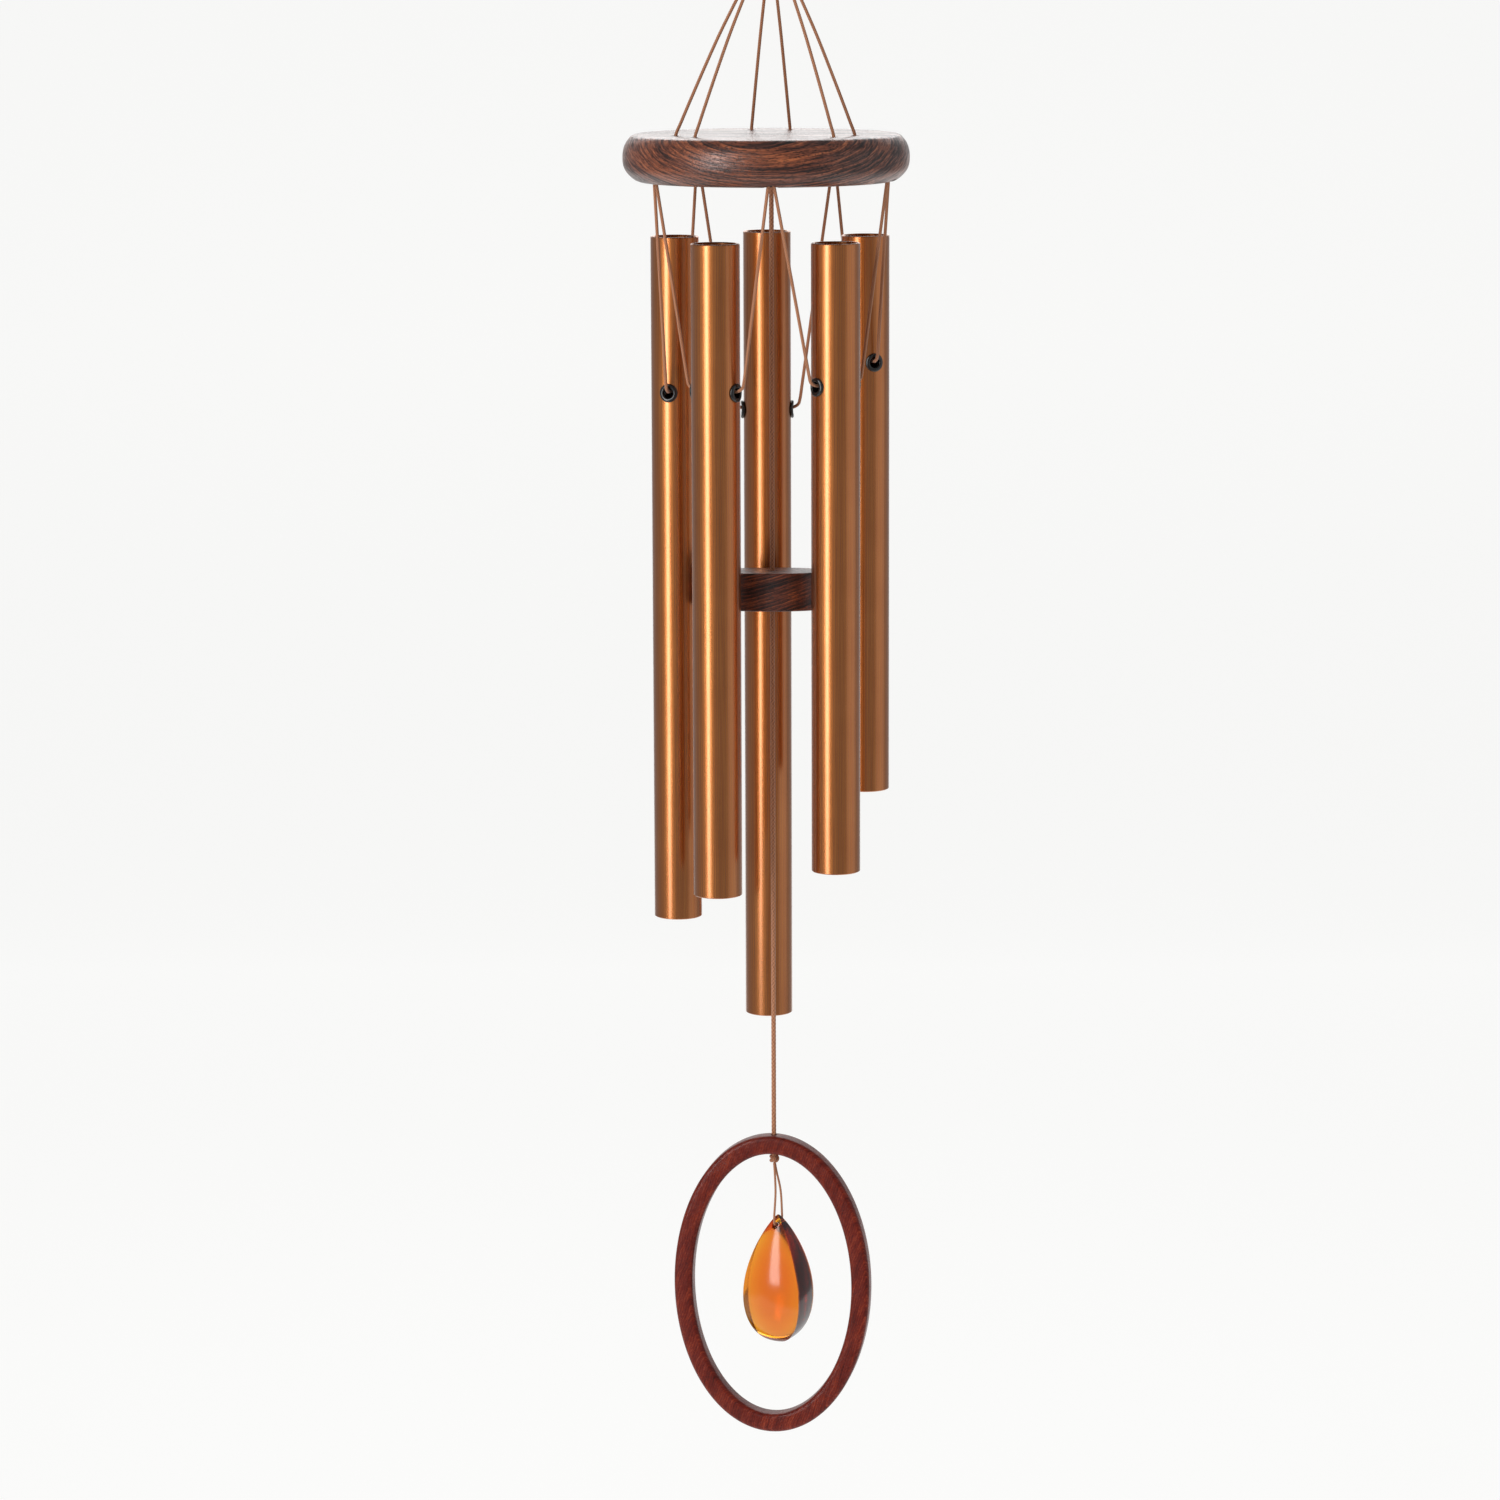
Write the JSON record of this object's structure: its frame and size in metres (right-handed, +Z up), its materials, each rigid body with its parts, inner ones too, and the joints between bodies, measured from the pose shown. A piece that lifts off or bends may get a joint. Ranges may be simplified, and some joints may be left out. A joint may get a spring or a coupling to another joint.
{
  "type": "wind chime",
  "caption": "Wind chime with bronze tubes hung from a turned wooden disc, a wooden clapper, and an oval wooden sail ring holding an amber glass drop.",
  "frame": {"origin": "the point inside the top of the hanging ring that rests on the hook", "axes": "+Z up; the chime's front is towards -Y, +X to its right"},
  "size_m": [0.112, 0.112, 0.6241],
  "materials": {
    "steel_wire": "polished steel wire, slightly dulled",
    "stained_wood": "open-grained hardwood, dark red-brown stain with streaks, gloss lacquer",
    "red_stained_wood": "fine-grained hardwood, mahogany red stain, satin to gloss lacquer",
    "bronze_anodised_aluminium": "drawn tube, brushed lengthwise and bronze anodised",
    "black_grommet": "moulded, smooth, slightly shiny black",
    "braided_cord": "fine braided polyester cord, copper brown",
    "amber_glass": "clear amber glass, polished"
  },
  "bodies": {
    "hanging_ring": {"hanging_ring": "steel_wire"},
    "platform": {"top_disc": "stained_wood", "suspension_cord_back": "braided_cord", "suspension_cord_left": "braided_cord", "suspension_cord_right": "braided_cord"},
    "tube_1_cord": {"tube_1_cord": "braided_cord"},
    "tube_1": {"tube_1": "bronze_anodised_aluminium", "tube_1_grommet_a": "black_grommet", "tube_1_grommet_b": "black_grommet"},
    "tube_2_cord": {"tube_2_cord": "braided_cord"},
    "tube_2": {"tube_2": "bronze_anodised_aluminium", "tube_2_grommet_a": "black_grommet", "tube_2_grommet_b": "black_grommet"},
    "tube_3_cord": {"tube_3_cord": "braided_cord"},
    "tube_3": {"tube_3": "bronze_anodised_aluminium", "tube_3_grommet_a": "black_grommet", "tube_3_grommet_b": "black_grommet"},
    "tube_4_cord": {"tube_4_cord": "braided_cord"},
    "tube_4": {"tube_4": "bronze_anodised_aluminium", "tube_4_grommet_a": "black_grommet", "tube_4_grommet_b": "black_grommet"},
    "tube_5_cord": {"tube_5_cord": "braided_cord"},
    "tube_5": {"tube_5": "bronze_anodised_aluminium", "tube_5_grommet_a": "black_grommet", "tube_5_grommet_b": "black_grommet"},
    "clapper_hanger": {"line_knot": "braided_cord"},
    "clapper": {"clapper_line": "braided_cord", "clapper": "stained_wood"},
    "sail_hanger": {"clapper_knot": "braided_cord"},
    "sail_line": {"sail_line": "braided_cord"},
    "sail": {"sail_ring": "red_stained_wood"},
    "drop_hanger": {"sail_knot": "braided_cord"},
    "drop": {"drop_loop": "braided_cord", "glass_drop": "amber_glass"}
  },
  "joints": [
    {"name": "chime_sway", "type": "hinge", "parent": "hanging_ring", "child": "platform", "pos_m": [0, 0, -0.0181], "axis": [1, 0, 0], "range_deg": [-25, 25]},
    {"name": "tube_1_cord_swing", "type": "hinge", "parent": "platform", "child": "tube_1_cord", "pos_m": [-0.03808, 0.01049, -0.1136], "axis": [0.2656, 0.9641, 0], "range_deg": [-2.3, 15]},
    {"name": "tube_1_tilt", "type": "hinge", "parent": "tube_1_cord", "child": "tube_1", "pos_m": [-0.03808, 0.01049, -0.19923], "axis": [-0.2656, -0.9641, 0], "range_deg": [-12, 4]},
    {"name": "tube_2_cord_swing", "type": "hinge", "parent": "platform", "child": "tube_2_cord", "pos_m": [-0.02174, -0.03298, -0.1136], "axis": [-0.8348, 0.5505, 0], "range_deg": [-2.3, 15]},
    {"name": "tube_2_tilt", "type": "hinge", "parent": "tube_2_cord", "child": "tube_2", "pos_m": [-0.02174, -0.03298, -0.19542], "axis": [0.8348, -0.5505, 0], "range_deg": [-12, 4]},
    {"name": "tube_3_cord_swing", "type": "hinge", "parent": "platform", "child": "tube_3_cord", "pos_m": [-0.00179, 0.03946, -0.1136], "axis": [0.999, 0.0454, 0], "range_deg": [-2.3, 15]},
    {"name": "tube_3_tilt", "type": "hinge", "parent": "tube_3_cord", "child": "tube_3", "pos_m": [-0.00179, 0.03946, -0.20953], "axis": [-0.999, -0.0454, 0], "range_deg": [-12, 4]},
    {"name": "tube_4_cord_swing", "type": "hinge", "parent": "platform", "child": "tube_4_cord", "pos_m": [0.02464, -0.03087, -0.1136], "axis": [-0.7815, -0.6239, 0], "range_deg": [-2.3, 15]},
    {"name": "tube_4_tilt", "type": "hinge", "parent": "tube_4_cord", "child": "tube_4", "pos_m": [0.02464, -0.03087, -0.1934], "axis": [0.7815, 0.6239, 0], "range_deg": [-12, 4]},
    {"name": "tube_5_cord_swing", "type": "hinge", "parent": "platform", "child": "tube_5_cord", "pos_m": [0.03697, 0.0139, -0.1136], "axis": [0.3518, -0.9361, 0], "range_deg": [-2.3, 15]},
    {"name": "tube_5_tilt", "type": "hinge", "parent": "tube_5_cord", "child": "tube_5", "pos_m": [0.03697, 0.0139, -0.1878], "axis": [-0.3518, 0.9361, 0], "range_deg": [-12, 4]},
    {"name": "clapper_turn", "type": "hinge", "parent": "platform", "child": "clapper_hanger", "pos_m": [0, 0, -0.1131], "axis": [0, 0, 1], "continuous": true},
    {"name": "clapper_swing", "type": "hinge", "parent": "clapper_hanger", "child": "clapper", "pos_m": [0, 0, -0.1131], "axis": [1, 0, 0], "range_deg": [-2, 2]},
    {"name": "sail_turn", "type": "hinge", "parent": "clapper", "child": "sail_hanger", "pos_m": [0, 0, -0.2819], "axis": [0, 0, 1], "continuous": true},
    {"name": "sail_swing", "type": "hinge", "parent": "sail_hanger", "child": "sail_line", "pos_m": [0, 0, -0.2819], "axis": [1, 0, 0], "range_deg": [-9, 9]},
    {"name": "sail_tilt", "type": "hinge", "parent": "sail_line", "child": "sail", "pos_m": [0, 0, -0.4984], "axis": [0.9848, -0.1736, 0], "range_deg": [-15, 15]},
    {"name": "drop_turn", "type": "hinge", "parent": "sail", "child": "drop_hanger", "pos_m": [0, 0, -0.5082], "axis": [0, 0, 1], "continuous": true},
    {"name": "drop_swing", "type": "hinge", "parent": "drop_hanger", "child": "drop", "pos_m": [0, 0, -0.5082], "axis": [0.9063, -0.4226, 0], "range_deg": [-18, 18]}
  ]
}
